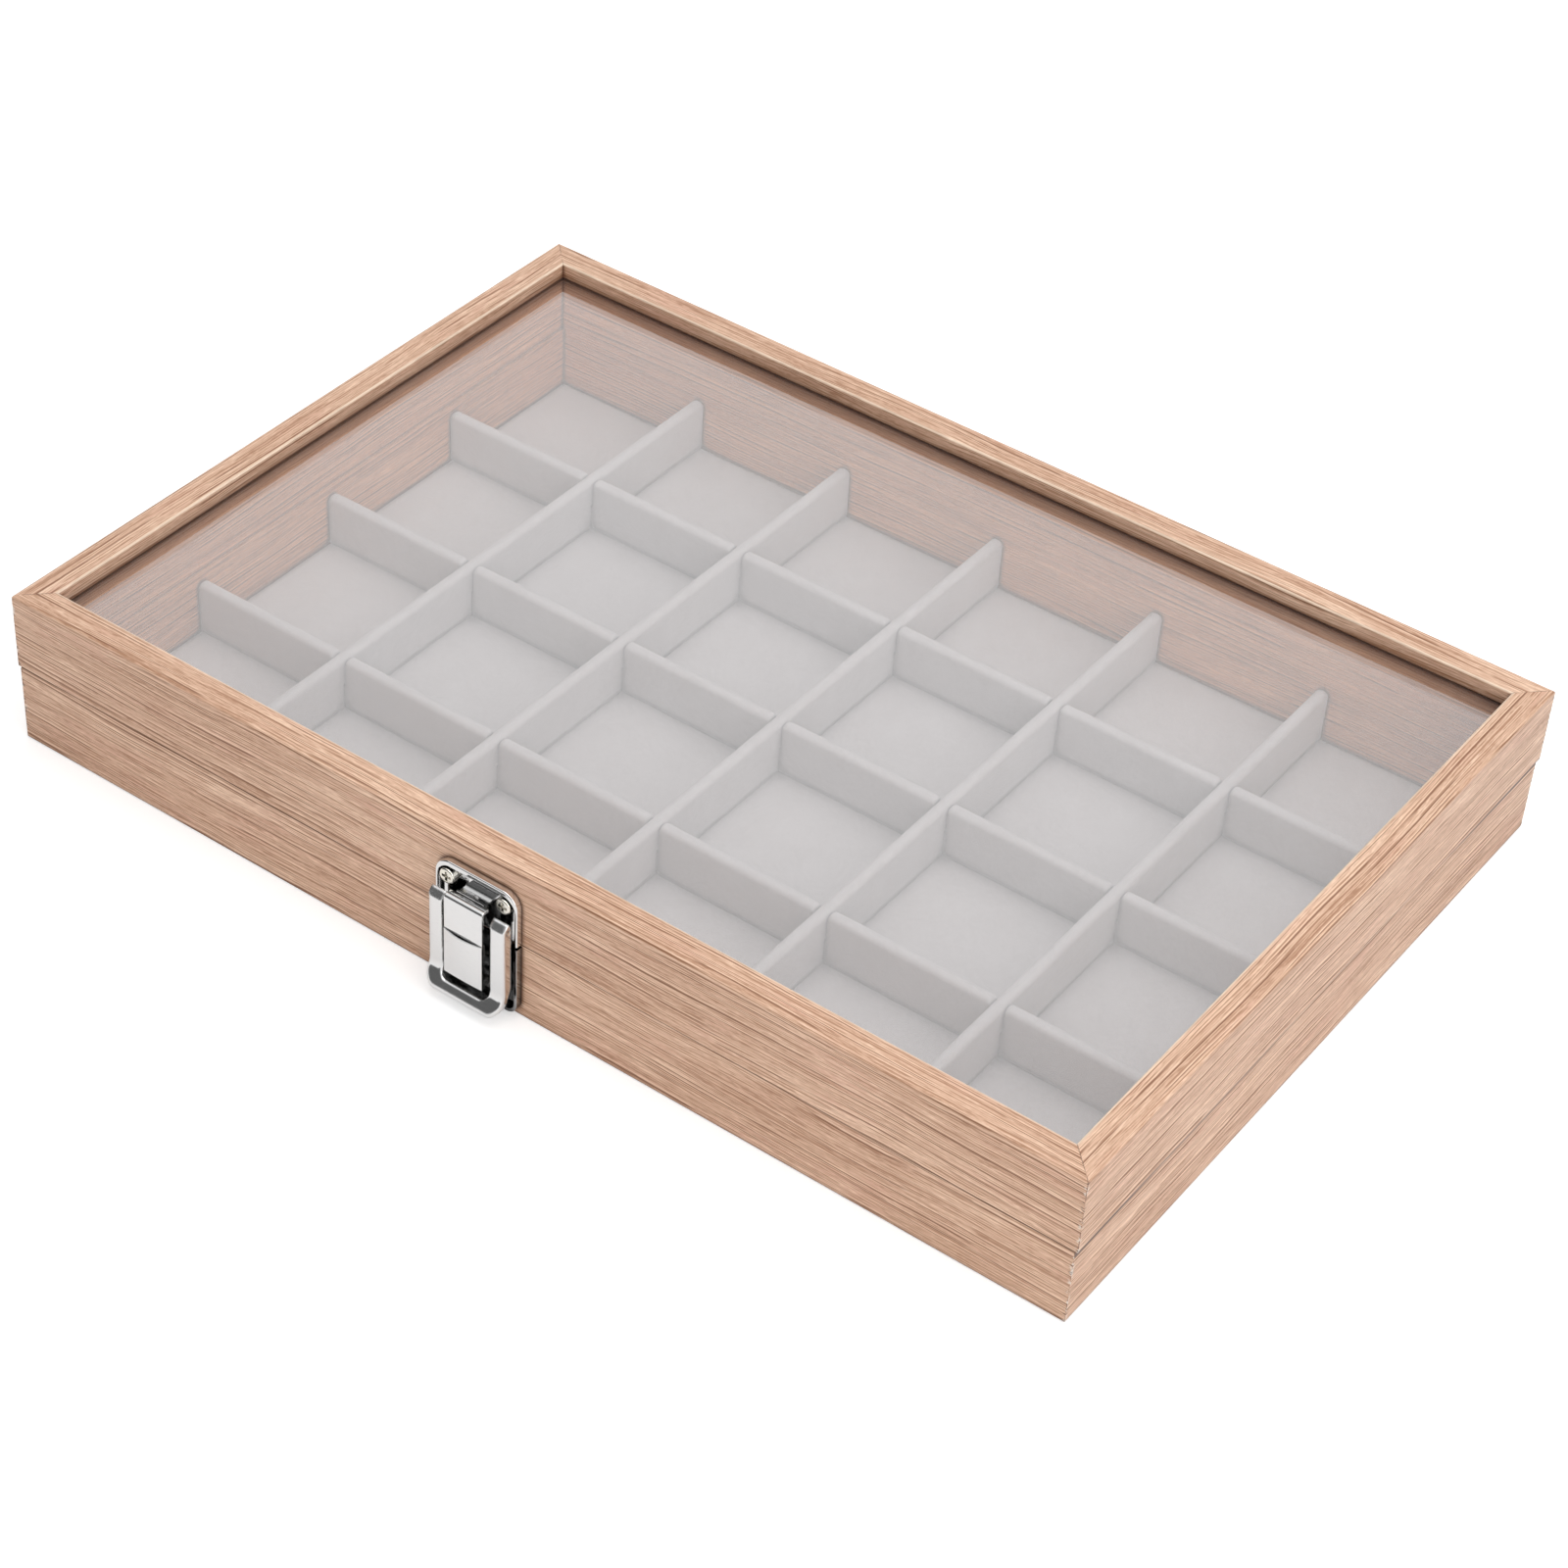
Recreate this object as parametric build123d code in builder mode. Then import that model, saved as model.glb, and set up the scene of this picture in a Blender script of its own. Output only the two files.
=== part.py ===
from build123d import *
from math import radians, tan
import os

# A flat wooden jewelry storage box with a glass lid, a velvet grid of compartments,
# two butt hinges at the back and a draw latch at the front.
# Origin: centre of the underside. X runs along the front, +Y to the hinges, +Z up. Millimetres.

# Case
lid_length = 350.0
case_width = 238.0
base_height = 25.0
lid_height = 24.6
wall = 9.0
lid_overhang = 0.8  # the lid stands this far past the base at each end
seam_round = 0.4
foot_round = 0.5
rim_round = 1.0
rim_inner_round = 0.5

# Floor
panel_thickness = 3.0
panel_seat = 4.0  # width of the rebate that the bottom panel lies in
panel_clearance = 0.2
lining_thickness = 2.0
lining_clearance = 0.3

# Dividers
columns = 6
rows = 4
divider_thickness = 4.0
divider_height = 17.0
divider_round = 1.6
divider_end_clearance = 0.2
lap_clearance = 0.15  # each side of a half-lap slot
lap_depth_clearance = 0.2

# Glass
glass_thickness = 2.0
glass_sink = 5.2  # from the top of the rim down to the glass
groove_depth = 4.0
glass_clearance = 0.3  # round the edge, in the groove
groove_clearance = 0.4  # above the glass, which lies on the groove's lower side
glass_edge = 0.3

# Hinges
hinge_inset = 57.0  # from the end of the lid to the middle of a hinge
hinge_length = 25.0
leaf_height = 10.0
leaf_thickness = 0.8
leaf_round = 1.5
knuckle_radius = 1.5
knuckle_standoff = 0.15  # from the back face to the barrel
knuckle_gap = 0.2
knuckle_relief = 0.3
hinge_pin_radius = 0.75
hinge_bore_clearance = 0.05
hinge_screw_spacing = 15.0

# Screws
screw_head_radius = 2.1
screw_head_height = 1.2
hinge_head_height = 0.7  # flatter, so that the leaves can close back to back
keeper_head_radius = 2.4
keeper_head_height = 2.2
screw_dome = 0.5
screw_shank_radius = 1.1
screw_length = 7.0
shank_clearance = 0.05
cross_length = 2.9
cross_width = 0.8
cross_depth = 0.6

# Latch plates
latch_x = -8.6
plate_width = 27.2
plate_top = 42.4
plate_bottom = 1.6
plate_proud = 2.2
metal = 0.7
plate_top_round = 5.0
plate_bottom_round = 3.5
plate_gap = 1.0  # between the two plates, across the seam
side_rim = 0.9
top_rim = 1.8
bottom_rim = 1.0
rim_edge_round = 0.4
keeper_screw_spacing = 18.6
keeper_screw_level = 37.7
base_screw_clearance = 0.25  # from a screw's head to the ear beside it
base_screw_level = 18.5
hook_width = 9.0
hook_reach = 4.6
hook_level = 36.7
hook_lip = 0.5
hook_drop = 0.4

# Lever
lever_width = 25.2
lever_front = 6.5
lever_foot = 2.8
lever_back = 3.0
lever_bar = 4.0  # from the foot up to the window
lever_arm = 4.8
lever_corner = 5.0
window_corner = 2.2
lever_round = 1.0
window_round = 0.8
flare_level = 9.5  # below it the lever leans outward, as a lip for the finger
flare_angle = 30.0
flare_round = 5.0  # of the bend where the lean begins
lip_round = 1.3
bar_back = 5.0
shoulder_level = 32.5
crown_level = 34.5
crown_standoff = 4.3
pivot_level = 31.6
pivot_standoff = 4.4
ear_radius = 1.2
ear_thickness = 0.75
ear_gap = 0.1
ear_root = 16.0
rivet_radius = 0.5
rivet_head_radius = 1.0
rivet_head_height = 0.5
pin_clearance = 0.05

# Link
link_level = 12.0
link_pin_radius = 0.6
lug_radius = 1.0
lug_reach = 4.0  # how far cheeks, lugs and legs run up from where they start
cover_side_clearance = 1.5  # from the cover to each side of the lever's window
cover_foot = 9.8
cover_top = 25.2
cover_front = 7.6
cover_bulge_foot = 0.15
cover_bulge_top = 1.1
cover_back = 6.2
cover_edge_round = 0.4
cover_metal = 0.5
strap_front = 7.45
strap_bulge = 0.45  # at the shoulder; it dies out where the roll begins
strap_foot = 19.5
strap_tongue = 8.0  # width of the part that reaches down into the cover
strap_shoulder_clearance = 0.1  # from the cover's mouth up to the wide part
strap_top = 36.5
strap_roll = 1.1  # outer radius of the bend at the strap's top
strap_clearance = 0.2  # from the rolled end to the keeper's hook

# Sizes that follow from the ones above
base_length = lid_length - 2 * lid_overhang
inner_length = base_length - 2 * wall
inner_width = case_width - 2 * wall
case_height = base_height + lid_height
floor_level = panel_thickness + lining_thickness
column_pitch = (inner_length + divider_thickness) / columns
row_pitch = (inner_width + divider_thickness) / rows
glass_top = case_height - glass_sink
hinge_axis_y = case_width / 2 + knuckle_standoff + knuckle_radius
pilot_radius = screw_shank_radius + shank_clearance
pilot_depth = screw_length + shank_clearance
keeper_foot = base_height + plate_gap / 2
base_plate_top = base_height - plate_gap / 2
window_half = lever_width / 2 - lever_arm
cover_width = 2 * (window_half - cover_side_clearance)
link_standoff = lever_back + lug_radius
lip_front = lever_front + (flare_level - lever_foot) * tan(radians(flare_angle))
tiny = 0.01  # how near an edge lies to a level to count as on it
corner_align = (Align.MIN, Align.MIN)
foot_align = (Align.CENTER, Align.MIN)

# Working planes: front_face and back_face look straight at the case, X across and Z up.
# latch_side looks along the box: first coordinate out from the front face, second up.
front_face = Plane(origin=(latch_x, -case_width / 2, 0), x_dir=(1, 0, 0), z_dir=(0, -1, 0))
back_face = Plane(origin=(0, case_width / 2, 0), x_dir=(-1, 0, 0), z_dir=(0, 1, 0))
latch_side = Plane(origin=(latch_x, -case_width / 2, 0), x_dir=(0, -1, 0), z_dir=(-1, 0, 0))
hinge_side = Plane(origin=(0, case_width / 2, 0), x_dir=(0, 1, 0), z_dir=(1, 0, 0))

lever_wall_inner = lever_width / 2 - metal
ear_outer = lever_wall_inner - ear_gap
ear_inner = ear_outer - ear_thickness
base_screw_place = ear_inner - base_screw_clearance - screw_head_radius
keeper_screw_points = [
    (side * keeper_screw_spacing / 2, keeper_screw_level) for side in (-1, 1)
]
base_screw_points = [(side * base_screw_place, base_screw_level) for side in (-1, 1)]
hinge_place = lid_length / 2 - hinge_inset
hinge_centres = [-hinge_place, hinge_place]
leaf_screw_rise = knuckle_radius + (leaf_height - knuckle_radius) / 2


def hinge_screw_points(direction):
    """Screw places on the back face, above (1) or below (-1) the seam."""
    return [
        (centre + side * hinge_screw_spacing / 2, base_height + direction * leaf_screw_rise)
        for centre in hinge_centres
        for side in (-1, 1)
    ]


def save(piece, name):
    piece.part.label = name
    export_step(piece.part, f"parts/{name}.step")


def side_planes(length):
    """For each side: a plane on its outer face at floor level, X along it, Y inward; and its run."""
    return {
        "front": (Plane(origin=(0, -case_width / 2, 0), x_dir=(1, 0, 0), z_dir=(0, 0, 1)), length),
        "back": (Plane(origin=(0, case_width / 2, 0), x_dir=(-1, 0, 0), z_dir=(0, 0, 1)), length),
        "left": (Plane(origin=(-length / 2, 0, 0), x_dir=(0, -1, 0), z_dir=(0, 0, 1)), case_width),
        "right": (Plane(origin=(length / 2, 0, 0), x_dir=(0, 1, 0), z_dir=(0, 0, 1)), case_width),
    }


def across(side):
    """The plane square to a board's run: X inward, Y up."""
    return Plane(origin=side.origin, x_dir=side.y_dir, z_dir=side.x_dir)


def dots(plane, points, radius):
    """Circles at the points given, as one sketch."""
    with BuildSketch(plane) as pattern:
        with Locations(*points):
            Circle(radius)
    return pattern.sketch


os.makedirs("parts", exist_ok=True)

# Base boards, mitred at the corners and rebated for the bottom panel
for name, (side, run) in side_planes(base_length).items():
    with BuildPart() as board:
        with BuildSketch(across(side).offset(-run / 2)) as section:
            Rectangle(wall, base_height, align=corner_align)
            outer = section.vertices().group_by(Axis.X)[0].sort_by(Axis.Y)
            fillet(outer[0], foot_round)
            outer = section.vertices().group_by(Axis.X)[0].sort_by(Axis.Y)
            fillet(outer[-1], seam_round)
            with Locations((wall - panel_seat, 0)):
                Rectangle(panel_seat, panel_thickness, align=corner_align, mode=Mode.SUBTRACT)
        extrude(amount=run)
        with BuildSketch(side):
            Polygon(
                (-run / 2, 0),
                (run / 2, 0),
                (run / 2 - wall, wall),
                (wall - run / 2, wall),
                align=None,
            )
        extrude(amount=base_height, mode=Mode.INTERSECT)
        if name == "front":
            extrude(
                dots(front_face, base_screw_points, pilot_radius),
                amount=-pilot_depth,
                mode=Mode.SUBTRACT,
            )
        if name == "back":
            extrude(
                dots(back_face, hinge_screw_points(-1), pilot_radius),
                amount=-pilot_depth,
                mode=Mode.SUBTRACT,
            )
    save(board, f"base_{name}_board")

# Bottom panel and its velvet lining
with BuildPart() as bottom_panel:
    with BuildSketch(Plane.XY):
        Rectangle(
            inner_length + 2 * (panel_seat - panel_clearance),
            inner_width + 2 * (panel_seat - panel_clearance),
        )
    extrude(amount=panel_thickness)
save(bottom_panel, "bottom_panel")

with BuildPart() as floor_lining:
    with BuildSketch(Plane.XY.offset(panel_thickness)):
        Rectangle(inner_length - 2 * lining_clearance, inner_width - 2 * lining_clearance)
    extrude(amount=lining_thickness)
save(floor_lining, "floor_lining")

# Dividers: the long ones are slotted from above, the cross ones from below
row_places = [(row - rows / 2) * row_pitch for row in range(1, rows)]
column_places = [(column - columns / 2) * column_pitch for column in range(1, columns)]
slot_width = divider_thickness + 2 * lap_clearance
slot_depth = divider_height / 2 + lap_depth_clearance

for number, place in enumerate(row_places, start=1):
    run = inner_length - 2 * divider_end_clearance
    with BuildPart() as divider:
        with BuildSketch(Plane.YZ.offset(-run / 2)) as section:
            with Locations((place, floor_level)):
                Rectangle(divider_thickness, divider_height, align=foot_align)
            fillet(section.vertices().group_by(Axis.Y)[-1], divider_round)
        extrude(amount=run)
        with BuildSketch(Plane.XY.offset(floor_level + divider_height)):
            with Locations(*[(x, place) for x in column_places]):
                Rectangle(slot_width, divider_thickness + 2 * lap_clearance)
        extrude(amount=-slot_depth, mode=Mode.SUBTRACT)
    save(divider, f"long_divider_{number}")

for number, place in enumerate(column_places, start=1):
    run = inner_width - 2 * divider_end_clearance
    with BuildPart() as divider:
        with BuildSketch(Plane.XZ.offset(-run / 2)) as section:
            with Locations((place, floor_level)):
                Rectangle(divider_thickness, divider_height, align=foot_align)
            fillet(section.vertices().group_by(Axis.Y)[-1], divider_round)
        extrude(amount=run)
        with BuildSketch(Plane.XY.offset(floor_level)):
            with Locations(*[(place, y) for y in row_places]):
                Rectangle(divider_thickness + 2 * lap_clearance, slot_width)
        extrude(amount=slot_depth, mode=Mode.SUBTRACT)
    save(divider, f"cross_divider_{number}")

# Lid rails, mitred and grooved for the glass
for name, (side, run) in side_planes(lid_length).items():
    with BuildPart() as rail:
        with BuildSketch(across(side).offset(-run / 2)) as section:
            with Locations((0, base_height)):
                Rectangle(wall, lid_height, align=corner_align)
            outer = section.vertices().group_by(Axis.X)[0].sort_by(Axis.Y)
            fillet(outer[0], seam_round)
            outer = section.vertices().group_by(Axis.X)[0].sort_by(Axis.Y)
            fillet(outer[-1], rim_round)
            inner = section.vertices().group_by(Axis.X)[-1].sort_by(Axis.Y)
            fillet(inner[-1], rim_inner_round)
            with Locations((wall - groove_depth, glass_top - glass_thickness)):
                Rectangle(
                    groove_depth,
                    glass_thickness + groove_clearance,
                    align=corner_align,
                    mode=Mode.SUBTRACT,
                )
        extrude(amount=run)
        with BuildSketch(side.offset(base_height)):
            Polygon(
                (-run / 2, 0),
                (run / 2, 0),
                (run / 2 - wall, wall),
                (wall - run / 2, wall),
                align=None,
            )
        extrude(amount=lid_height, mode=Mode.INTERSECT)
        if name == "front":
            extrude(
                dots(front_face, keeper_screw_points, pilot_radius),
                amount=-pilot_depth,
                mode=Mode.SUBTRACT,
            )
        if name == "back":
            extrude(
                dots(back_face, hinge_screw_points(1), pilot_radius),
                amount=-pilot_depth,
                mode=Mode.SUBTRACT,
            )
    save(rail, f"lid_{name}_rail")

# Glass pane
glass_inset = wall - groove_depth + glass_clearance
with BuildPart() as glass_pane:
    with BuildSketch(Plane.XY.offset(glass_top - glass_thickness)):
        Rectangle(lid_length - 2 * glass_inset, case_width - 2 * glass_inset)
    extrude(amount=glass_thickness)
    chamfer(glass_pane.edges().filter_by(Plane.XY), glass_edge)
save(glass_pane, "glass_pane")

# Butt hinges: two knuckles on the base leaf, one between them on the lid leaf
axis_out = hinge_axis_y - case_width / 2
knuckle_length = hinge_length / 3
barrel_radius = knuckle_radius + knuckle_relief


def hinge_leaf(centre, direction, spans):
    """A leaf on the back face, above (1) or below (-1) the seam, with knuckles along the spans."""
    with BuildPart() as leaf:
        with BuildSketch(back_face) as outline:
            with Locations((-centre, base_height + direction * leaf_height / 2)):
                Rectangle(hinge_length, leaf_height)
            far = outline.vertices().sort_by(Axis.Y)
            fillet(far[-2:] if direction > 0 else far[:2], leaf_round)
        extrude(amount=leaf_thickness)
        with BuildSketch(hinge_side.offset(centre - hinge_length / 2)):
            with Locations((axis_out, base_height)):
                Circle(barrel_radius)
        extrude(amount=hinge_length, mode=Mode.SUBTRACT)
        for start, length in spans:
            plane = hinge_side.offset(centre - hinge_length / 2 + start)
            with BuildSketch(plane):
                with Locations((0, base_height)):
                    Rectangle(
                        leaf_thickness,
                        barrel_radius + knuckle_gap,
                        align=(Align.MIN, Align.MIN if direction > 0 else Align.MAX),
                    )
                with Locations((axis_out, base_height)):
                    Circle(knuckle_radius)
                with Locations((axis_out, base_height)):
                    Circle(hinge_pin_radius + hinge_bore_clearance, mode=Mode.SUBTRACT)
            extrude(amount=length)
        countersink = [
            (-centre + side * hinge_screw_spacing / 2, base_height + direction * leaf_screw_rise)
            for side in (-1, 1)
        ]
        extrude(dots(back_face, countersink, pilot_radius), amount=leaf_thickness, mode=Mode.SUBTRACT)
    return leaf


outer_span = knuckle_length - knuckle_gap
base_spans = [(0, outer_span), (2 * knuckle_length + knuckle_gap, outer_span)]
lid_spans = [(knuckle_length, knuckle_length)]
for hand, centre in zip(("left", "right"), hinge_centres):
    save(hinge_leaf(centre, -1, base_spans), f"hinge_base_leaf_{hand}")
    save(hinge_leaf(centre, 1, lid_spans), f"hinge_lid_leaf_{hand}")
    with BuildPart() as hinge_pin:
        with BuildSketch(hinge_side.offset(centre - hinge_length / 2)):
            with Locations((axis_out, base_height)):
                Circle(hinge_pin_radius)
        extrude(amount=hinge_length)
    save(hinge_pin, f"hinge_pin_{hand}")


def screw_group(plane, points, seat, head_radius, head_height, name):
    """Domed cross-head screws standing on the level called seat, driven into the wood."""
    with BuildPart() as group:
        extrude(dots(plane.offset(seat), points, head_radius), amount=head_height)
        head_level = seat + head_height
        tops = group.edges().filter_by(
            lambda edge: abs(plane.to_local_coords(edge.center()).Z - head_level) < tiny
        )
        fillet(tops, screw_dome)
        extrude(
            dots(plane.offset(seat), points, screw_shank_radius),
            amount=-(screw_length + seat),
        )
        with BuildSketch(plane.offset(head_level)) as cross:
            with Locations(*points):
                Rectangle(cross_length, cross_width)
                Rectangle(cross_width, cross_length)
        extrude(cross.sketch, amount=-cross_depth, mode=Mode.SUBTRACT)
    save(group, name)


screw_group(
    front_face,
    keeper_screw_points,
    metal,
    keeper_head_radius,
    keeper_head_height,
    "keeper_screws",
)
screw_group(
    front_face,
    base_screw_points,
    metal,
    screw_head_radius,
    screw_head_height,
    "latch_base_screws",
)
for direction, owner in ((1, "lid"), (-1, "base")):
    points = hinge_screw_points(direction)
    screw_group(
        back_face,
        points,
        leaf_thickness,
        screw_head_radius,
        hinge_head_height,
        f"hinge_{owner}_screws",
    )

# Keeper plate on the lid: a pressed tray with a strip bent out as the hook
with BuildPart() as keeper_plate:
    with BuildSketch(front_face) as outline:
        with Locations((0, keeper_foot)):
            Rectangle(plate_width, plate_top - keeper_foot, align=foot_align)
        fillet(outline.vertices().group_by(Axis.Y)[-1], plate_top_round)
    extrude(amount=plate_proud)
    with BuildSketch(front_face.offset(metal)) as recess:
        with Locations((0, keeper_foot)):
            Rectangle(
                plate_width - 2 * side_rim,
                plate_top - top_rim - keeper_foot,
                align=foot_align,
            )
        fillet(recess.vertices().group_by(Axis.Y)[-1], plate_top_round - side_rim)
    extrude(amount=plate_proud - metal, mode=Mode.SUBTRACT)
    rim_edges = keeper_plate.faces().sort_by(Axis.Y)[0].edges().sort_by(Axis.Z)
    fillet(rim_edges[2:], rim_edge_round)  # all but the two short ones at the rim's open ends
    with BuildSketch(latch_side.offset(-hook_width / 2)):
        Polygon(
            (0, hook_level - hook_lip - metal),
            (hook_reach, hook_level - hook_lip - hook_drop - metal),
            (hook_reach, hook_level),
            (hook_reach - metal, hook_level),
            (hook_reach - metal, hook_level - hook_lip - hook_drop),
            (0, hook_level - hook_lip),
            align=None,
        )
    extrude(amount=hook_width)
    extrude(dots(front_face, keeper_screw_points, pilot_radius), amount=metal, mode=Mode.SUBTRACT)
save(keeper_plate, "keeper_plate")

# Base plate of the latch: a pressed tray with two ears that carry the lever
with BuildPart() as latch_base_plate:
    with BuildSketch(front_face) as outline:
        with Locations((0, plate_bottom)):
            Rectangle(plate_width, base_plate_top - plate_bottom, align=foot_align)
        fillet(outline.vertices().group_by(Axis.Y)[0], plate_bottom_round)
    extrude(amount=plate_proud)
    with BuildSketch(front_face.offset(metal)) as recess:
        with Locations((0, plate_bottom + bottom_rim)):
            Rectangle(
                plate_width - 2 * side_rim,
                base_plate_top - plate_bottom - bottom_rim,
                align=foot_align,
            )
        fillet(recess.vertices().group_by(Axis.Y)[0], plate_bottom_round - side_rim)
    extrude(amount=plate_proud - metal, mode=Mode.SUBTRACT)
    for place in (-ear_outer, ear_inner):
        with BuildSketch(latch_side.offset(-place - ear_thickness)):
            Polygon(
                (0, ear_root),
                (0, base_plate_top),
                (2 * metal, keeper_foot),
                (pivot_standoff - ear_radius, pivot_level),
                (pivot_standoff + ear_radius, pivot_level),
                (pivot_standoff + ear_radius, base_height),
                align=None,
            )
            with Locations((pivot_standoff, pivot_level)):
                Circle(ear_radius)
                Circle(rivet_radius + pin_clearance, mode=Mode.SUBTRACT)
        extrude(amount=ear_thickness)
    extrude(dots(front_face, base_screw_points, pilot_radius), amount=metal, mode=Mode.SUBTRACT)
save(latch_base_plate, "latch_base_plate")

# Lever: one pressed frame, open at the top, with hollow arms and a pull bar that leans outward
window_foot = lever_foot + lever_bar
cheek_half = window_half + metal


def lever_front_edges(lever, in_window):
    """The front's edges below the arms' open ends: round the window, or round the outside."""
    fronts = lever.faces().filter_by(
        lambda face: face.normal_at().Y < -tiny and face.center().Z < shoulder_level
    )
    middle = fronts.edges().filter_by(lambda edge: abs(edge.center().X - latch_x) < cheek_half)
    if in_window:
        return middle.filter_by(lambda edge: edge.center().Z > window_foot - tiny)
    crosswise = fronts.edges().filter_by(Axis.X)
    return [edge for edge in fronts.edges() if edge not in middle and edge not in crosswise]


with BuildPart() as latch_lever:
    with BuildSketch(front_face) as outline:
        with Locations((0, lever_foot)):
            Rectangle(lever_width, crown_level - lever_foot, align=foot_align)
        fillet(outline.vertices().group_by(Axis.Y)[0], lever_corner)
        with BuildSketch(mode=Mode.PRIVATE) as window:
            with Locations((0, window_foot)):
                Rectangle(2 * window_half, crown_level, align=foot_align)
            fillet(window.vertices().group_by(Axis.Y)[0], window_corner)
        add(window.sketch, mode=Mode.SUBTRACT)
    extrude(amount=lip_front)
    with BuildSketch(latch_side.offset(-lever_width / 2)) as profile:
        Polygon(
            (bar_back, lever_foot),
            (lip_front, lever_foot),
            (lever_front, flare_level),
            (lever_front, shoulder_level),
            (crown_standoff, crown_level),
            (lever_back, pivot_level + ear_radius),
            (lever_back, link_level - lug_radius),
            (bar_back, window_foot),
            align=None,
        )
        fillet(profile.vertices().sort_by_distance((lip_front, lever_foot))[0], lip_round)
        fillet(profile.vertices().sort_by_distance((lever_front, flare_level))[0], flare_round)
    extrude(amount=lever_width, mode=Mode.INTERSECT)
    fillet(lever_front_edges(latch_lever, in_window=False), lever_round)
    fillet(lever_front_edges(latch_lever, in_window=True), window_round)
    for place in (-lever_wall_inner, cheek_half):
        channel = lever_wall_inner - cheek_half
        with BuildSketch(latch_side.offset(-place - channel)):
            Polygon(
                (0, window_foot),
                (lever_front - metal, window_foot),
                (lever_front - metal, shoulder_level - metal / 2),
                (crown_standoff - metal / 2, crown_level - metal),
                (0, crown_level + metal),
                align=None,
            )
        extrude(amount=channel, mode=Mode.SUBTRACT)
    with BuildSketch(latch_side.offset(-cheek_half)):
        Polygon(
            (0, link_level + lug_reach),
            (lever_front - metal, link_level + lug_reach),
            (lever_front - metal, shoulder_level - metal / 2),
            (crown_standoff - metal / 2, crown_level - metal),
            (0, crown_level + metal),
            align=None,
        )
    extrude(amount=2 * cheek_half, mode=Mode.SUBTRACT)
    with BuildSketch(latch_side.offset(-lever_width / 2)):
        with Locations((pivot_standoff, pivot_level)):
            Circle(rivet_radius + pin_clearance)
    extrude(amount=lever_width, mode=Mode.SUBTRACT)
    with BuildSketch(latch_side.offset(-cheek_half)):
        with Locations((link_standoff, link_level)):
            Circle(link_pin_radius + pin_clearance)
    extrude(amount=2 * cheek_half, mode=Mode.SUBTRACT)
save(latch_lever, "latch_lever")

# Rivets that join the lever to the ears, heads inside
with BuildPart() as lever_rivets:
    for side in (-1, 1):
        start = side * (ear_inner - pin_clearance)
        with BuildSketch(latch_side.offset(-start)):
            with Locations((pivot_standoff, pivot_level)):
                Circle(rivet_head_radius)
        extrude(amount=side * rivet_head_height)
        with BuildSketch(latch_side.offset(-start)):
            with Locations((pivot_standoff, pivot_level)):
                Circle(rivet_radius)
        extrude(amount=start - side * lever_width / 2)
save(lever_rivets, "lever_rivets")

# Pin through the cheeks of the lever, which the link swings on
with BuildPart() as link_pin:
    with BuildSketch(latch_side.offset(-cheek_half)):
        with Locations((link_standoff, link_level)):
            Circle(link_pin_radius)
    extrude(amount=2 * cheek_half)
save(link_pin, "link_pin")


def bowed_block(foot, top, front, back, half):
    """A block whose front is bowed outward; foot and top are its ends' levels and bulges."""
    with BuildPart() as block:
        for z, bulge in (foot, top):
            plane = Plane(
                origin=(latch_x, -case_width / 2, z), x_dir=(1, 0, 0), z_dir=(0, 0, 1)
            )
            with BuildSketch(plane):
                with BuildLine():
                    Polyline((-half, -front), (-half, -back), (half, -back), (half, -front))
                    Bezier((half, -front), (0, -front - 2 * bulge), (-half, -front))
                make_face()
        loft()
    return block.part


# Cover of the link: a folded box, open at the top and the back, with lugs on the pin
cover_mouth = (cover_top, cover_bulge_top)
cover_inner_front = cover_front - cover_metal
cover_inner_half = cover_width / 2 - cover_metal
with BuildPart() as link_cover:
    cover_end = (cover_foot, cover_bulge_foot)
    add(bowed_block(cover_end, cover_mouth, cover_front, cover_back, cover_width / 2))
    foot_edge = link_cover.faces().sort_by(Axis.Z)[0].edges().sort_by(Axis.Y)[0]
    fillet(foot_edge, cover_edge_round)
    with BuildSketch(latch_side.offset(-cover_width / 2)):
        with Locations((link_standoff, link_level)):
            Circle(lug_radius)
        Polygon(
            (link_standoff, link_level - lug_radius),
            (cover_back + cover_metal, cover_foot + cover_metal),
            (cover_back + cover_metal, link_level + lug_reach),
            (link_standoff, link_level + lug_radius),
            align=None,
        )
    extrude(amount=cover_width)
    inner_end = (cover_foot + cover_metal, cover_bulge_foot)
    add(
        bowed_block(inner_end, cover_mouth, cover_inner_front, 0, cover_inner_half),
        mode=Mode.SUBTRACT,
    )
    with BuildSketch(latch_side.offset(-cover_width / 2)):
        with Locations((link_standoff, link_level)):
            Circle(link_pin_radius + pin_clearance)
    extrude(amount=cover_width, mode=Mode.SUBTRACT)
save(link_cover, "link_cover")

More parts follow.
